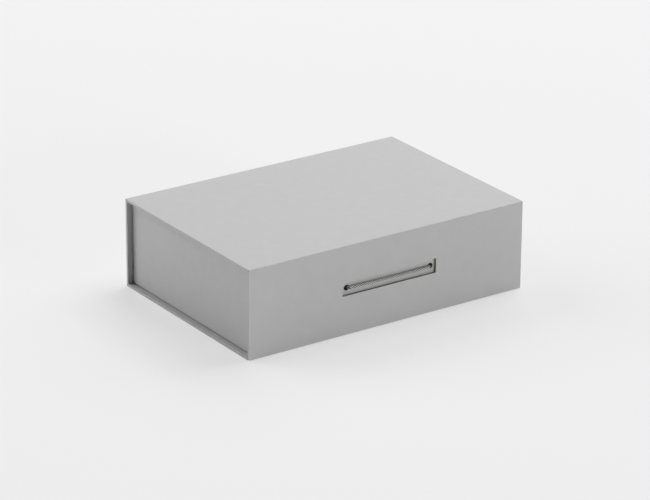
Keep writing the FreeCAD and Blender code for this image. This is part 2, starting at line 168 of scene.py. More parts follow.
def tape_material():
    """Gummed kraft tape: brown, with long fibres along the roll."""
    material, tree, shader = new_material("gummed_kraft_tape")
    place = node(tree, "ShaderNodeTexCoord").outputs["Object"]
    along = node(tree, "ShaderNodeMapping", [("Vector", place), ("Scale", (1, 1, 0.15))])
    fibre = node(tree, "ShaderNodeTexNoise", [
        ("Vector", along.outputs[0]), ("Scale", 1 / (0.8 * MM)), ("Detail", 3.0)])
    tint = node(tree, "ShaderNodeMix", [
        ("Factor", fibre.outputs["Fac"]), (6, linear("#9A754C")), (7, linear("#C6A273"))],
        data_type="RGBA")
    tree.links.new(tint.outputs[2], shader.inputs["Base Color"])
    shader.inputs["Roughness"].default_value = 0.55
    shader.inputs["IOR"].default_value = 1.45
    return material


def foam_tape_material():
    """Double-sided tape: white closed-cell foam, its cut edge pitted by the cells."""
    material, tree, shader = new_material("white_foam_tape")
    place = node(tree, "ShaderNodeTexCoord").outputs["Object"]
    cells = node(tree, "ShaderNodeTexVoronoi", [("Vector", place), ("Scale", 1 / (0.3 * MM))])
    tint = node(tree, "ShaderNodeMix", [
        ("Factor", cells.outputs["Distance"]), (6, linear("#E6E4DE")), (7, linear("#D3D0C8"))],
        data_type="RGBA")
    tree.links.new(tint.outputs[2], shader.inputs["Base Color"])
    shader.inputs["Roughness"].default_value = 0.7
    return material


def magnet_material():
    """Neodymium disc, bright nickel plate with a faint tumbled haze."""
    material, tree, shader = new_material("nickel_plated_magnet")
    place = node(tree, "ShaderNodeTexCoord").outputs["Object"]
    haze = node(tree, "ShaderNodeTexNoise", [
        ("Vector", place), ("Scale", 1 / (1.2 * MM)), ("Detail", 2.0)])
    dull = node(tree, "ShaderNodeMapRange", [
        ("Value", haze.outputs["Fac"]), ("To Min", 0.18), ("To Max", 0.34)])
    tree.links.new(dull.outputs[0], shader.inputs["Roughness"])
    shader.inputs["Base Color"].default_value = linear("#C9C5BD")
    shader.inputs["Metallic"].default_value = 1.0
    return material


def rope_material():
    """Twisted polyester cord: pale grey crests with fine yarns, and painted shade, near black, on the
    strands' flanks in the grooves between them, which reads as short slanting strokes; with a soft sheen."""
    material, tree, shader = new_material("twisted_polyester_cord")
    groove = node(tree, "ShaderNodeAttribute", attribute_name="groove")
    thread = node(tree, "ShaderNodeAttribute", attribute_name="thread")
    # the yarns in a strand lie about 0.3 mm apart, and are drawn 0.7 mm apart so that they show
    wave = node(tree, "ShaderNodeTexWave", [
        ("Vector", thread.outputs["Vector"]), ("Scale", 1.0), ("Distortion", 1.2), ("Detail", 2.0)],
        bands_direction="X")
    tint = node(tree, "ShaderNodeMix", [
        ("Factor", wave.outputs["Fac"]), (6, linear("#F0EFEC")), (7, linear("#F8F7F4"))],
        data_type="RGBA")
    # painted shade: the colour goes to near black where the groove weight is 1, between the strands
    shaded = node(tree, "ShaderNodeMix", [
        ("Factor", groove.outputs["Fac"]), (6, tint.outputs[2]), (7, linear("#080808"))],
        data_type="RGBA")
    tree.links.new(shaded.outputs[2], shader.inputs["Base Color"])
    relief = node(tree, "ShaderNodeBump", [
        ("Height", wave.outputs["Fac"]), ("Distance", 0.06 * MM), ("Strength", 0.6)])
    tree.links.new(relief.outputs["Normal"], shader.inputs["Normal"])
    shader.inputs["Roughness"].default_value = 0.62
    shader.inputs["IOR"].default_value = 1.5
    shader.inputs["Sheen Weight"].default_value = 0.2
    return material


def core_shade_material():
    """The cord's core, coloured near black as painted shade deep between the strands."""
    material, tree, shader = new_material("core_painted_shade")
    place = node(tree, "ShaderNodeTexCoord").outputs["Object"]
    yarn = node(tree, "ShaderNodeTexNoise", [
        ("Vector", place), ("Scale", 1 / (0.5 * MM)), ("Detail", 2.0)])
    tint = node(tree, "ShaderNodeMix", [
        ("Factor", yarn.outputs["Fac"]), (6, linear("#080808")), (7, linear("#0E0E0E"))],
        data_type="RGBA")
    tree.links.new(tint.outputs[2], shader.inputs["Base Color"])
    shader.inputs["Roughness"].default_value = 0.85
    return material


# each paper's first colour is the painted highlight on its folds and rounded edges; the other two are its own
# mottled tone
WRAP = paper_material("felt_marked_wrap_paper", "#C4C4C4", "#BBBBBB", "#BFBFBF", 0.9, 0.05, 0.62)
LINING = paper_material("smooth_lining_paper", "#C2C2C2", "#BABABA", "#BEBEBE", 0.5, 0.02, 0.7)
BOARD = board_material()
KRAFT = tape_material()
FOAM_TAPE = foam_tape_material()
NICKEL = magnet_material()
CORD = rope_material()
CORE = core_shade_material()

# ------------------------------------------------------------------ surfaces
WELD = 1e-6
TINY = 1e-9
ARC_STEPS, FOLD_STEPS, HOLE_STEPS = 6, 8, 48
FLAT_FROM = 4  # radii in from an edge, where a face is cut so that the edge's shading stays near it


def arc(centre, radius, start, end):
    """Points (centre + radius * (cos a, sin a)) and outward normals, for a from start to end in degrees."""
    angle = np.radians(np.linspace(start, end, ARC_STEPS + 1))
    normal = np.stack([np.cos(angle), np.sin(angle)], axis=-1)
    return np.array(centre) + radius * normal, normal


def profile(*runs):
    """Several stretches of (points, normals), end to end."""
    return np.concatenate([r[0] for r in runs]), np.concatenate([r[1] for r in runs])


def straight(*points, normal):
    """Points that share one normal."""
    return np.array(points, float), np.tile(np.array(normal, float), (len(points), 1))


def weld(points, quads):
    """Joins points that lie together. Quads that close up to a triangle stay, and thinner ones go."""
    keys = np.round(points / WELD).astype(np.int64)
    _, first, index = np.unique(keys, axis=0, return_index=True, return_inverse=True)
    quads = index.reshape(-1)[quads]
    shut = quads == np.roll(quads, -1, axis=1)
    whole = quads[shut.sum(axis=1) == 0]
    pinched = shut.sum(axis=1) == 1
    triangles = [np.delete(quads[pinched & shut[:, k]], k, axis=1) for k in range(4)]
    return first, whole, np.concatenate(triangles)


def join_grids(grids):
    """Grids of points as one list of points and one of quads: [i, j], [i+1, j], [i+1, j+1], [i, j+1]."""
    points, quads, start = [], [], 0
    for grid in grids:
        rows, columns = grid.shape[:2]
        index = start + np.arange(rows * columns).reshape(rows, columns)
        corners = [index[:-1, :-1], index[1:, :-1], index[1:, 1:], index[:-1, 1:]]
        quads.append(np.stack(corners, axis=-1).reshape(-1, 4))
        points.append(grid.reshape(-1, grid.shape[-1]))
        start += rows * columns
    return np.concatenate(points), np.concatenate(quads)


def open_edges(faces, count):
    """The directed edges of these faces that no other face shares."""
    edges = np.concatenate([np.stack([f, np.roll(f, -1, axis=1)], axis=-1).reshape(-1, 2) for f in faces])
    codes = edges[:, 0] * count + edges[:, 1]
    back = edges[:, 1] * count + edges[:, 0]
    return edges[~np.isin(codes, back)]


def make_piece(name, points, faces, material, attributes=(), smooth=35):
    """A mesh object at the origin, shaded smooth up to an angle."""
    mesh = bpy.data.meshes.new(name)
    mesh.from_pydata(points.tolist(), [], [row for block in faces for row in block.tolist()])
    for key, values in attributes:
        kind, field = ("FLOAT", "value") if values.ndim == 1 else ("FLOAT_VECTOR", "vector")
        layer = mesh.attributes.new(key, kind, "POINT")
        layer.data.foreach_set(field, values.astype(np.float32).ravel())
    mesh.shade_smooth()
    mesh.set_sharp_from_angle(angle=math.radians(smooth))
    mesh.materials.append(material)
    piece = bpy.data.objects.new(name, mesh)
    bpy.context.scene.collection.objects.link(piece)
    return piece


def paper_piece(name, outer, inner, material, slot, flip=False):
    """A sheet of paper with two faces and its cut edges. The grids of the outer face and of the inner face
    match point for point; each point is (x, y, z, fold), and fold is 1 where the sheet is bent."""
    points_out, quads = join_grids(outer)
    points_in, _ = join_grids(inner)
    if flip:
        quads = quads[:, ::-1]
    first, whole, triangles = weld(points_out[:, :3], quads)
    outside, inside = points_out[first], points_in[first]
    count = len(first)
    rim = open_edges([whole, triangles], count)
    cut_edge = np.stack([rim[:, 1], rim[:, 0], rim[:, 0] + count, rim[:, 1] + count], axis=-1)
    faces = [whole, triangles, whole[:, ::-1] + count, triangles[:, ::-1] + count, cut_edge]
    both = np.concatenate([outside, inside])
    return make_piece(name, both[:, :3], faces, material, [("fold", both[:, 3])])


# ------------------------------------------------------------------ the case's paper
# A panel's point is given by x, its place along the panel and its depth under the outer face.
PANELS = {
    "bottom": lambda x, along, depth: (x, along, depth),
    "spine": lambda x, along, depth: (x, BACK - depth, along),
    "lid": lambda x, along, depth: (x, along, TOP - depth),
    "flap": lambda x, along, depth: (x, FRONT + depth, along),
}


def panel_points(panel, x, along, depth, fold):
    """Grid of (x, y, z, fold) for one panel."""
    x, along, depth, fold = np.broadcast_arrays(x, along, depth, fold)
    return np.stack([*PANELS[panel](x, along, depth), fold], axis=-1)


def set_back(depth):
    """How far a panel's mitred end stands back from the corner of the case at a depth."""
    return np.maximum(FOLD_ROUND, depth + HALF_FOLD)


def edge_line():
    """The paper's line round a board's edge as (inset, depth): turned-in end, inner corner, outer corner."""
    r = EDGE_ROUND
    return profile(
        straight((TURN_IN, CASE_TURNED), (FLAT_FROM * r, CASE_TURNED), normal=(0, 1)),
        arc((r, CASE_TURNED - r), r, 90, 180),
        arc((r, r), r, 180, 270),
        straight((FLAT_FROM * r, 0), (TURN_IN, 0), normal=(0, -1)),
    )


def both_faces(points, normals):
    """A paper line and the same line one paper thickness further in, each with its fold weights."""
    bent = (np.abs(normals).max(axis=1) < 0.999).astype(float)
    return [(points, bent), (points - PAPER * normals, bent)]


def strip_across(line):
    """The edge line at both ends of a panel, as one line of (x, depth) from left to right."""
    points, bent = line
    left = np.stack([points[:, 0] - HALF_WIDTH, points[:, 1]], axis=-1)
    right = left[::-1] * (-1, 1)
    return np.concatenate([left, right]), np.concatenate([bent, bent[::-1]])


def folded_panel(panel, corners):
    """Grids for a panel that folds at both ends: the line across it, drawn from one mitre to the other."""
    faces = []
    for line in both_faces(*edge_line()):
        across, bent = strip_across(line)
        ends = [corners[0] + set_back(across[:, 1]), corners[1] - set_back(across[:, 1])]
        grid = [panel_points(panel, across[:, 0], along, across[:, 1], bent) for along in ends]
        faces.append([np.stack(grid, axis=1)])
    return faces


def fold_strip(centre, start, end):
    """Grids for the paper round a fold. A point at a depth lies on an arc of radius (fold radius - depth)
    about the centre (y, z), so the strip's ends close to a point where the boards' mitre begins."""
    points, normals = edge_line()
    shallow = points[:, 1] < FOLD_ROUND - TINY
    points, normals = points[shallow], normals[shallow]
    points = np.concatenate([[[0, FOLD_ROUND]], points])
    normals = np.concatenate([[[-1, 0]], normals])
    faces = []
    for line in both_faces(points, normals):
        across, _ = strip_across(line)
        angle = np.radians(np.linspace(start, end, FOLD_STEPS + 1))
        radius = (FOLD_ROUND - across[:, 1])[:, None]
        x = np.broadcast_to(across[:, :1], (len(across), len(angle)))
        y = centre[0] + radius * np.cos(angle)
        z = centre[1] + radius * np.sin(angle)
        bent = np.broadcast_to(np.sin(np.linspace(0, np.pi, len(angle))), x.shape)
        faces.append([np.stack([x, y, z, bent], axis=-1)])
    return faces


def free_panel(panel, free_end, fold_corner, window=None):
    """Grids for a panel with one free end. The edge line runs up one side, along the free end and back;
    at an inset it follows a rectangle whose corner has the radius (edge radius - inset)."""
    side = 1 if fold_corner > free_end else -1
    levels = [window["high_z"], window["low_z"]] if window else []
    breaks = [window["low_x"], window["high_x"]] if window else []
    turn = np.radians(np.linspace(0, 90, ARC_STEPS + 1))
    round_x, round_v = np.cos(turn), np.sin(turn)
    # each station: base x, base along, inset direction x and along, corner share, arc direction x and along
    stations = [(-HALF_WIDTH, fold_corner, 1, 0, 0, 0, 0)]
    stations += [(-HALF_WIDTH, level, 1, 0, 0, 0, 0) for level in levels]
    stations += [(-HALF_WIDTH, free_end, 1, side, 1, -c, -s * side) for c, s in zip(round_x, round_v)]
    stations += [(x, free_end, 0, side, 0, 0, 0) for x in breaks]
    stations += [(HALF_WIDTH, free_end, -1, side, 1, s, -c * side) for c, s in zip(round_x, round_v)]
    stations += [(HALF_WIDTH, level, -1, 0, 0, 0, 0) for level in reversed(levels)]
    stations += [(HALF_WIDTH, fold_corner, -1, 0, 0, 0, 0)]
    base_x, base_v, in_x, in_v, corner, arc_x, arc_v = np.array(stations, float).T[:, None, :]
    faces = []
    for points, bent in both_faces(*edge_line()):
        inset, depth = points[:, :1], points[:, 1:]
        radius = np.maximum(EDGE_ROUND - inset, 0)
        x = base_x + in_x * (inset + radius * corner) + radius * arc_x
        along = base_v + in_v * (inset + radius * corner) + radius * arc_v
        fold_end = fold_corner - side * set_back(depth[:, 0])
        along[:, 0] = fold_end
        along[:, -1] = fold_end
        ring = panel_points(panel, x, along, depth, bent[:, None])
        lines_x = [TURN_IN - HALF_WIDTH, *breaks, HALF_WIDTH - TURN_IN]
        lines_v = [free_end + side * TURN_IN, *reversed(levels), fold_corner - side * FOLD_ROUND]
        grids = [ring]
        for i, (x0, x1) in enumerate(zip(lines_x[:-1], lines_x[1:])):
            for j, (v0, v1) in enumerate(zip(lines_v[:-1], lines_v[1:])):
                if not (window and i == 1 and j == 1):
                    cell_x = np.array([[x0, x0], [x1, x1]])
                    cell_v = np.array([[v0, v1], [v0, v1]])
                    grids.append(panel_points(panel, cell_x, cell_v, depth[-1, 0], 0.0))
        faces.append(grids)
    return faces


def ring_first_flip(faces):
    """Turns the ring over so that it faces the same way as the panel's flat cells."""
    return [[grids[0][::-1], *grids[1:]] for grids in faces]


lid_faces = folded_panel("lid", (FRONT, BACK))
lid_paper = paper_piece("lid_paper", *lid_faces, WRAP, "wrap_paper")
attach(lid_paper, "lid")
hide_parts("lid_wrap")

spine_faces = folded_panel("spine", (0.0, TOP))
spine_paper = paper_piece("spine_paper", *spine_faces, WRAP, "wrap_paper", flip=True)
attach(spine_paper, "base")
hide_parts("spine_wrap")

bottom_faces = ring_first_flip(free_panel("bottom", BOTTOM_LIP, BACK))
bottom_paper = paper_piece("bottom_paper", *bottom_faces, WRAP, "wrap_paper", flip=True)
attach(bottom_paper, "base")
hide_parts("bottom_wrap")

flap_faces = ring_first_flip(free_panel("flap", FLAP_FOOT, TOP, WINDOW))
flap_paper = paper_piece("flap_paper", *flap_faces, WRAP, "wrap_paper")
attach(flap_paper, "flap")
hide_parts("flap_wrap")

foot_fold = paper_piece(
    "spine_foot_fold", *fold_strip((BACK - FOLD_ROUND, FOLD_ROUND), -90, 0), WRAP, "wrap_paper", flip=True)
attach(foot_fold, "base")

lid_fold = paper_piece(
    "lid_fold", *fold_strip((BACK - FOLD_ROUND, TOP - FOLD_ROUND), 0, 90), WRAP, "wrap_paper", flip=True)
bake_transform(lid_fold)

flap_fold = paper_piece(
    "flap_fold", *fold_strip((FRONT + FOLD_ROUND, TOP - FOLD_ROUND), 90, 180), WRAP, "wrap_paper", flip=True)
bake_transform(flap_fold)

# ------------------------------------------------------------------ lining pressed into the folds
GROOVE_GAP = 0.05 * MM  # left between the two papers when the case is shut
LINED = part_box("bottom_lining")[1].z
LINING_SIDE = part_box("lid_lining")[1].x


def groove_lining(name, panel, corner, towards, body):
    """Thin paper on one board's mitred face, from near the outer paper to the lining: a flat strip at
    45 degrees, whose place along the panel shortens as much as its depth grows."""
    x = np.array([[-LINING_SIDE], [LINING_SIDE]])
    depth = np.array([[2 * PAPER, LINED]])
    faces = []
    for gap in (GROOVE_GAP, HALF_FOLD):
        along = corner - towards * (depth + gap)
        faces.append([panel_points(panel, x, along, depth, 0.0)])
    turned = {"lid": towards < 0, "spine": towards > 0, "flap": towards < 0}[panel]
    strip = paper_piece(name, *faces, LINING, "lining_paper", flip=turned)
    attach(strip, body)


groove_lining("spine_groove_lining", "spine", TOP, 1, "base")
groove_lining("lid_rear_groove_lining", "lid", BACK, 1, "lid")
groove_lining("lid_front_groove_lining", "lid", FRONT, -1, "lid")
groove_lining("flap_groove_lining", "flap", TOP, 1, "flap")

# ------------------------------------------------------------------ the tray's paper


def loop_stations(low, high, radius, breaks):
    """Stations round a rectangle, anticlockwise from its left front corner, with breaks along the front.
    Each is base x and y, inset direction x and y, corner share, arc direction x and y."""
    rows = []
    corners = [((low.x, low.y), (1, 1), 180), ((high.x, low.y), (-1, 1), 270),
               ((high.x, high.y), (-1, -1), 0), ((low.x, high.y), (1, -1), 90)]
    for number, ((x, y), (in_x, in_y), first) in enumerate(corners):
        for angle in np.radians(np.linspace(first, first + 90, ARC_STEPS + 1)):
            rows.append((x, y, in_x, in_y, 1, np.cos(angle), np.sin(angle)))
        if number == 0:
            rows += [(place, y, 0, 1, 0, 0, 0) for place in breaks]
    rows.append(rows[0])
    return np.array(rows, float).T[:, None, :]


def loop_grid(stations, line, bent, radius):
    """The line of (inset, z) carried round the rectangle, whose corner radius is (radius - inset)."""
    base_x, base_y, in_x, in_y, corner, arc_x, arc_y = stations
    inset, level = line[:, :1], line[:, 1:]
    left = np.maximum(radius - inset, 0)
    x = base_x + in_x * (inset + left * corner) + left * arc_x
    y = base_y + in_y * (inset + left * corner) + left * arc_y
    z = np.broadcast_to(level, x.shape)
    round_part = corner * (left > 0) * (np.abs(arc_x) < 0.99) * (np.abs(arc_y) < 0.99)
    fold = np.maximum(bent[:, None], round_part)
    return np.stack([x, y, z, fold], axis=-1)


def pierced_square(centre_x, centre_z, half, radius, y):
    """A square with a round hole in a wall at y: rays from the hole's circle out to the square's corners."""
    angle = np.radians(np.linspace(0, 360, HOLE_STEPS + 1))
    circle = np.stack([centre_x + radius * np.cos(angle), centre_z + radius * np.sin(angle)], axis=-1)
    nearest = np.floor((angle + TINY) / (np.pi / 2)).astype(int) % 4
    corner_x = np.array([1, -1, -1, 1])[nearest] * half + centre_x
    corner_z = np.array([1, 1, -1, -1])[nearest] * half + centre_z
    outer = np.stack([corner_x, corner_z], axis=-1)
    grid = np.stack([circle, outer], axis=1)
    depth = np.full(grid.shape[:2], y)
    zero = np.zeros(grid.shape[:2])
    return np.stack([grid[..., 0], depth, grid[..., 1], zero], axis=-1)


TRAY_ROUND = 0.3 * MM
RIM_INSET = 2.4 * MM
RIM_TURN_IN = 20 * MM
HOLE_HALF = 6 * MM  # of the square of paper drawn round each hole
hole_breaks = [x + sign * HOLE_HALF for x in HOLES_X for sign in (-1, 1)]
r = TRAY_ROUND
tray_line = profile(
    straight((TURN_IN, TRAY_LOW.z), (FLAT_FROM * r, TRAY_LOW.z), normal=(0, -1)),
    arc((r, TRAY_LOW.z + r), r, 270, 180),
    straight((0, HOLE_Z - HOLE_HALF), (0, HOLE_Z + HOLE_HALF), normal=(-1, 0)),
    arc((r, TRAY_HIGH.z - r), r, 180, 90),
    arc((RIM_INSET - r, TRAY_HIGH.z - r), r, 90, 0),
    straight((RIM_INSET, TRAY_HIGH.z - RIM_TURN_IN), normal=(1, 0)),
)
stations = loop_stations(TRAY_LOW, TRAY_HIGH, r, hole_breaks)
tray_faces = []
for points, bent in both_faces(*tray_line):
    grid = loop_grid(stations, points, bent, r)
    wall_row = 2 + ARC_STEPS + 1  # the row just under the holes, past the underside and the lower round
    first_break = ARC_STEPS + 1  # the column left of the first hole, past the first corner
    y = grid[wall_row, first_break, 1]
    grids = [grid[:wall_row + 1], grid[wall_row + 1:]]
    middle = grid[wall_row:wall_row + 2]
    grids.append(middle[:, :first_break + 1])
    grids.append(middle[:, first_break + 1:first_break + 3])
    grids.append(middle[:, first_break + 3:])
    for x in HOLES_X:
        grids.append(pierced_square(x, HOLE_Z, HOLE_HALF, HOLE_RADIUS, y))
    tray_faces.append(grids)
tray_paper = paper_piece("tray_paper", *tray_faces, WRAP, "wrap_paper", flip=True)
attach(tray_paper, "base")
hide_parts("tray_wrap")

# ------------------------------------------------------------------ stay tape round the tray's corners
tape_faces = []
for inset in (PAPER - TAPE, PAPER):
    radius = TRAY_ROUND - inset
    strips = []
    for side_x in (-1, 1):
        for side_y, end_y in ((-1, TRAY_LOW.y), (1, TRAY_HIGH.y)):
            corner_x, corner_y = side_x * (TRAY_HIGH.x - inset), end_y - side_y * inset
            bend = np.radians(np.linspace(0, 90, ARC_STEPS + 1))
            xs = corner_x - side_x * radius * (1 - np.cos(bend))
            ys = corner_y - side_y * radius * (1 - np.sin(bend))
            reach = TAPE_REACH
            xs = np.concatenate([[corner_x], xs, [side_x * (TRAY_HIGH.x - PAPER - reach)]])
            ys = np.concatenate([[end_y - side_y * (PAPER + reach)], ys, [corner_y]])
            if side_x * side_y < 0:
                xs, ys = xs[::-1], ys[::-1]
            levels = np.array([TAPE_LOW.z, TAPE_HIGH.z])[:, None]
            x, y, z, bent = np.broadcast_arrays(xs, ys, levels, 0.0)
            strips.append(np.stack([x, y, z, bent], axis=-1))
    tape_faces.append(strips)
tapes = paper_piece("corner_stay_tapes", *tape_faces, KRAFT, "stay_tape", flip=True)
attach(tapes, "base")
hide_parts("tray_corner_tapes")

# ------------------------------------------------------------------ the rope handle
WALL_FACE_Y = TRAY_LOW.y
ROPE_MIDDLE = (HOLES_X[0] + HOLES_X[1]) / 2
ROPE_Z = (ROPE_LOW.z + ROPE_HIGH.z) / 2
ROPE_HALF_THICK = 1.95 * MM  # the front run is pressed a little flat against the wall
LEG_HALF_THICK = ROPE_RADIUS - 0.1 * MM
ROPE_REAR_GAP = 0.3 * MM
RUN_Y = WALL_FACE_Y - ROPE_REAR_GAP - ROPE_HALF_THICK
SAG = 0.4 * MM
BEND_RADIUS = 1.6 * MM
NECK_HALF_THICK, NECK_HALF_TALL = 1.2 * MM, 1.9 * MM  # where it is pulled over the hole's edge
NECK_IN = 1.8 * MM  # the neck's middle, from the hole's middle
LEG_EASE_FROM, LEG_EASE_OVER = 3 * MM, 10 * MM  # behind the wall's face: back to the hole's middle
PINCH_FROM, PINCH_OVER = -3.4 * MM, 2.2 * MM  # behind the wall's face: the rope narrows to the neck
SWELL_FROM, SWELL_OVER = 4 * MM, 8 * MM  # behind the wall's face: it widens again
TAIL = 7 * MM
KNOT_Y = ROPE_HIGH.y - TAIL - KNOT_RADIUS
KNOT_ENDS = 2.12  # the trefoil's parameter runs from -KNOT_ENDS to KNOT_ENDS
KNOT_DRAWN_FROM, KNOT_DRAWN_OVER = 1.8, 0.3  # where its ends are drawn in to the middle line
KNOT_SIDE, KNOT_LENGTH = 1.9 * MM, 0.4 * MM  # sizes of the trefoil's terms
KNOT_TUCK = 1.75 * MM  # rope's radius, pulled tight in a knot
KNOT_LOOSE, KNOT_EASE = 10 * MM, 8 * MM  # it is loose this far from the knot's middle, and tightens over this
STRANDS = 4
LEAD = 10.4 * MM  # one strand's turn round the rope
STRAND_SHARE = 0.4  # a strand's half thickness, to the rope's
STRAND_WIDE = 0.3  # a strand's half width, to the rope's
GROOVE_PAINTED_SHADE = 1.6  # strength of the painted shade in the grooves; above 1, so that the groove is full dark before its bottom
CORE_INSET = 1.15 * MM
STEP = 0.3 * MM
AROUND = 16
YARN_TURNS, YARN_DRIFT = 1.0, 1.5  # how far the yarn pattern runs round half a strand, and along one lead


def smooth_step(value):
    """3 v^2 - 2 v^3 of the value held between 0 and 1."""
    value = np.clip(value, 0, 1)
    return value * value * (3 - 2 * value)


def half_rope_line(hole_x):
    """The rope's middle line from the middle of the front run to one tail, as points: a run that sags by
    (1 - u^2)^2, a quarter circle, a leg that eases back to the hole's middle, a long trefoil
    (t^3 - 3t, t^5 - 10t, t^4 - 4t^2 + 2) whose sides are drawn in at its ends, and a straight tail."""
    side = np.sign(hole_x - ROPE_MIDDLE)
    across = side * (hole_x - ROPE_MIDDLE)
    neck = across - NECK_IN
    reach = np.linspace(0, 1, 90)
    drop = -SAG * (1 - reach**2)**2
    run = np.stack([(neck - BEND_RADIUS) * reach, np.full_like(reach, RUN_Y), drop], axis=-1)
    turn = np.radians(np.linspace(-90, 0, 13))[1:]
    bend = np.stack([neck - BEND_RADIUS + BEND_RADIUS * np.cos(turn),
                     RUN_Y + BEND_RADIUS + BEND_RADIUS * np.sin(turn), np.zeros_like(turn)], axis=-1)
    t = np.linspace(-KNOT_ENDS, KNOT_ENDS, 220)
    drawn_in = 1 - smooth_step((np.abs(t) - KNOT_DRAWN_FROM) / KNOT_DRAWN_OVER)
    knot = np.stack([across + KNOT_SIDE * (t**3 - 3 * t) * drawn_in,
                     KNOT_Y + KNOT_LENGTH * (t**5 - 10 * t),
                     KNOT_SIDE * (t**4 - 4 * t**2 + 2) * drawn_in], axis=-1)
    leg_y = np.linspace(bend[-1, 1], knot[0, 1], 60)[1:-1]
    ease = smooth_step((leg_y - WALL_FACE_Y - LEG_EASE_FROM) / LEG_EASE_OVER)
    leg = np.stack([neck + NECK_IN * ease, leg_y, np.zeros_like(leg_y)], axis=-1)
    tail_y = np.linspace(knot[-1, 1], ROPE_HIGH.y, 12)[1:]
    tail = np.stack([np.full_like(tail_y, across), tail_y, np.zeros_like(tail_y)], axis=-1)
    line = np.concatenate([run, bend, leg, knot, tail])
    line[:, 0] = ROPE_MIDDLE + side * line[:, 0]
    line[:, 2] += ROPE_Z
    return line


def even_steps(line, step):
    """The same line with points an even step apart."""
    length = np.concatenate([[0], np.cumsum(np.linalg.norm(np.diff(line, axis=0), axis=1))])
    places = np.linspace(0, length[-1], int(round(length[-1] / step)) + 1)
    return np.stack([np.interp(places, length, line[:, k]) for k in range(3)], axis=-1), places


def carried_normals(tangents, first):
    """Normals carried along a line without twist, from the line's first point."""
    normals = [np.array(first, float)]
    for tangent in tangents[1:]:
        normal = normals[-1] - (normals[-1] @ tangent) * tangent
        normals.append(normal / np.linalg.norm(normal))
    return np.array(normals)


def unit(vectors):
    """The same directions, each one long."""
    return vectors / np.linalg.norm(vectors, axis=-1, keepdims=True)


halves = []
for hole_x in HOLES_X:
    line, places = even_steps(half_rope_line(hole_x), STEP)
    tangent = unit(np.gradient(line, axis=0))
    upright = carried_normals(tangent, (0, 0, 1))
    halves.append((line, tangent, upright, places))
(left_line, left_tangent, left_up, left_s), (right_line, right_tangent, right_up, right_s) = halves
line = np.concatenate([left_line[:0:-1], right_line])
tangent = np.concatenate([-left_tangent[:0:-1], right_tangent])
upright = np.concatenate([left_up[:0:-1], right_up])
along = np.concatenate([-left_s[:0:-1], right_s])
sideways = np.cross(upright, tangent)

# half thickness and half height of the rope, by depth behind the wall's face and closeness to a knot
behind = line[:, 1] - WALL_FACE_Y
narrowed = smooth_step((behind - PINCH_FROM) / PINCH_OVER)
near_hole = narrowed * (1 - smooth_step((behind - SWELL_FROM) / SWELL_OVER))
knotted = smooth_step((KNOT_LOOSE - np.abs(line[:, 1] - KNOT_Y)) / KNOT_EASE)
half_thick = np.where(behind < 0, ROPE_HALF_THICK, LEG_HALF_THICK)
half_thick = half_thick + (NECK_HALF_THICK - half_thick) * near_hole
half_tall = ROPE_RADIUS + (NECK_HALF_TALL - ROPE_RADIUS) * near_hole
half_thick = half_thick + (KNOT_TUCK - half_thick) * knotted
half_tall = half_tall + (KNOT_TUCK - half_tall) * knotted

# 1 along the rope and 0 at its two ends, where the rings close
closed = np.ones(len(along))
closed[[0, -1]] = 0


def twisted_strands():
    """Rings of the strands, how much painted shade each point takes and where it lies on the yarns. Strand i
    stands at the angle 2 pi (s / lead + i / strands) round the rope's middle line, and its section is an
    ellipse. A point stands at the angle a round its strand, 90 degrees at the crest, and 1 - sin a paints
    shade on it, darkest in the grooves."""
    number = np.arange(STRANDS)[:, None]
    turns = along[None, :] / LEAD
    angle = 2 * np.pi * (turns + number / STRANDS)
    cos, sin = np.cos(angle)[..., None], np.sin(angle)[..., None]
    radial = unit(cos * sideways + sin * upright)
    oval = half_thick[:, None] * cos * sideways + half_tall[:, None] * sin * upright
    middle = line + (1 - STRAND_SHARE) * oval
    strand_way = unit(np.gradient(middle, axis=1))
    across = unit(np.cross(strand_way, radial))
    outward = np.cross(across, strand_way)
    round_angle = np.linspace(0, 2 * np.pi, AROUND + 1)[None, None, :, None]
    wide = (STRAND_WIDE * (half_thick + half_tall) / 2 * closed)[None, :, None, None]
    thick = (STRAND_SHARE * half_thick * closed)[None, :, None, None]
    ring = (middle[:, :, None] + wide * np.cos(round_angle) * across[:, :, None]
            + thick * np.sin(round_angle) * outward[:, :, None])
    # painted shade on the strand's flanks, 1 - sin a, full towards the grooves
    groove = GROOVE_PAINTED_SHADE * np.clip(1 - np.sin(round_angle[..., 0]), 0, 1) * closed[None, :, None]
    groove = np.broadcast_to(groove, ring.shape[:3])
    lane = YARN_TURNS * round_angle[..., 0] / np.pi + YARN_DRIFT * turns[..., None]
    lane, way = np.broadcast_arrays(np.broadcast_to(lane, ring.shape[:3]), turns[..., None])
    thread = np.stack([lane, way, np.zeros_like(lane)], axis=-1)
    return ring, groove, thread


rings, grooves, threads = twisted_strands()
points, quads = join_grids(list(rings))
first, whole, triangles = weld(points, quads)
patterns = [("groove", grooves.reshape(-1)[first]), ("thread", threads.reshape(-1, 3)[first])]
cord = make_piece("handle_rope_strands", points[first], [whole, triangles], CORD, patterns, smooth=80)
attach(cord, "handle")
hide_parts("handle_rope")

# the core yarns fill the twist: an oval tube, drawn in at its ends, coloured near black as painted shade
ring_angle = np.linspace(2 * np.pi, 0, 13)[None, :, None]
core_thick = ((half_thick - CORE_INSET) * closed)[:, None, None]
core_tall = ((half_tall - CORE_INSET) * closed)[:, None, None]
core_ring = (line[:, None] + core_thick * np.cos(ring_angle) * sideways[:, None]
             + core_tall * np.sin(ring_angle) * upright[:, None])
points, quads = join_grids([core_ring])
first, whole, triangles = weld(points, quads)
core = make_piece("handle_rope_core", points[first], [whole, triangles], CORE)
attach(core, "handle")

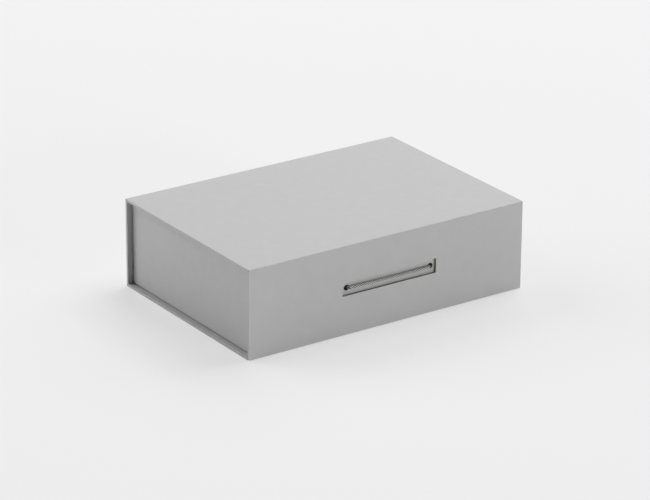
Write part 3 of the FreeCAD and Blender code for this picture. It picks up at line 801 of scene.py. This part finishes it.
# ------------------------------------------------------------------ finishes on the nodes that stay
for name, finish in {
    "bottom_board": BOARD, "spine_board": BOARD, "lid_board": BOARD, "flap_board": BOARD,
    "tray_floor_board": BOARD, "tray_front_board": BOARD, "tray_rear_board": BOARD,
    "tray_left_board": BOARD, "tray_right_board": BOARD,
    "bottom_lining": LINING, "spine_lining": LINING, "lid_lining": LINING, "flap_lining": LINING,
    "tray_wall_lining": LINING, "tray_floor_lining": LINING, "tray_mounting_tape": FOAM_TAPE,
    "flap_magnets": NICKEL, "tray_magnets": NICKEL,
}.items():
    nodes[name].data.materials.clear()
    nodes[name].data.materials.append(finish)

# ------------------------------------------------------------------ camera
AZIMUTH, ELEVATION, ROLL = math.radians(-34.5157), math.radians(22.1011), math.radians(0.3272)
DISTANCE, AIM_ACROSS, AIM_UP = 3.39413, 0.0014598, 0.0378789
LENS = 184.373
back = Vector((math.sin(AZIMUTH) * math.cos(ELEVATION), -math.cos(AZIMUTH) * math.cos(ELEVATION),
               math.sin(ELEVATION)))
level_right = Vector((math.cos(AZIMUTH), math.sin(AZIMUTH), 0))
level_up = back.cross(level_right)
right = math.cos(ROLL) * level_right + math.sin(ROLL) * level_up
up = math.cos(ROLL) * level_up - math.sin(ROLL) * level_right
camera_data = bpy.data.cameras.new("camera")
camera_data.sensor_width = 36
camera_data.lens = LENS
camera_data.clip_end = 50
camera = bpy.data.objects.new("camera", camera_data)
bpy.context.scene.collection.objects.link(camera)
spot = AIM_ACROSS * right + AIM_UP * up + DISTANCE * back
camera.matrix_world = Matrix((
    (right.x, up.x, back.x, spot.x), (right.y, up.y, back.y, spot.y),
    (right.z, up.z, back.z, spot.z), (0, 0, 0, 1)))
bpy.context.scene.camera = camera

# ------------------------------------------------------------------ studio
SWEEP_HALF = 8.0
SWEEP_GLOW = 0.6
floor_mesh = bpy.data.meshes.new("floor")
floor_corners = [(x * SWEEP_HALF, y * SWEEP_HALF, 0) for x, y in ((-1, -1), (1, -1), (1, 1), (-1, 1))]
floor_mesh.from_pydata(floor_corners, [], [(0, 1, 2, 3)])
floor = bpy.data.objects.new("floor", floor_mesh)
bpy.context.scene.collection.objects.link(floor)
floor_material, floor_tree, floor_shader = new_material("floor_sweep")
floor_output = floor_tree.nodes["Material Output"]
floor_shader.inputs["Base Color"].default_value = linear("#EAEAEA")
floor_shader.inputs["Roughness"].default_value = 0.9
floor_shader.inputs["Specular IOR Level"].default_value = 0.0
# the lens and any mirror see the floor partly as a lit white sweep and partly with the box's shadow on it
path = node(floor_tree, "ShaderNodeLightPath")
lens_or_mirror = node(floor_tree, "ShaderNodeMath", [
    (0, path.outputs["Is Camera Ray"]), (1, path.outputs["Is Glossy Ray"])], operation="MAXIMUM")
seen = node(floor_tree, "ShaderNodeMath", [
    (0, lens_or_mirror.outputs[0]), (1, path.outputs["Is Transmission Ray"])], operation="MAXIMUM")
share = node(floor_tree, "ShaderNodeMath", [(0, seen.outputs[0]), (1, SWEEP_GLOW)], operation="MULTIPLY")
glow = node(floor_tree, "ShaderNodeEmission", [("Color", linear("#F2F2F2"))])
sweep = node(floor_tree, "ShaderNodeMixShader", [
    (0, share.outputs[0]), (1, floor_shader.outputs["BSDF"]), (2, glow.outputs["Emission"])])
floor_tree.links.new(sweep.outputs[0], floor_output.inputs["Surface"])
floor_mesh.materials.append(floor_material)

world = bpy.data.worlds.new("studio")
bpy.context.scene.world = world
world.use_nodes = True
world.node_tree.nodes["Background"].inputs["Color"].default_value = (1, 1, 1, 1)
world.node_tree.nodes["Background"].inputs["Strength"].default_value = 0.03

LAMP_DISTANCE, LAMP_AIM = 8.0, 0.03


def softbox(name, azimuth, elevation, side, watts):
    """A square soft lamp aimed at the box. Azimuth 0 is in front of it, 90 to its right."""
    data = bpy.data.lights.new(name, "AREA")
    data.shape = "SQUARE"
    data.size = side
    data.energy = watts
    lamp = bpy.data.objects.new(name, data)
    bpy.context.scene.collection.objects.link(lamp)
    a, e = math.radians(azimuth), math.radians(elevation)
    towards = Vector((math.sin(a) * math.cos(e), -math.cos(a) * math.cos(e), math.sin(e)))
    lamp.location = towards * LAMP_DISTANCE + Vector((0, 0, LAMP_AIM))
    lamp.rotation_euler = towards.to_track_quat("Z", "Y").to_euler()


softbox("front_lamp", 10, 10, 1.6, 225)
softbox("left_low_lamp", 250, 12, 4.8, 42)
softbox("left_rear_low_lamp", 225, 12, 4.8, 186)
softbox("left_rear_lamp", 210, 38, 4.8, 233)
softbox("right_rear_lamp", 135, 38, 4.8, 228)
softbox("right_lamp", 90, 38, 4.8, 179)
softbox("right_high_lamp", 90, 62, 4.8, 243)

scene = bpy.context.scene
scene.view_settings.view_transform = "Standard"
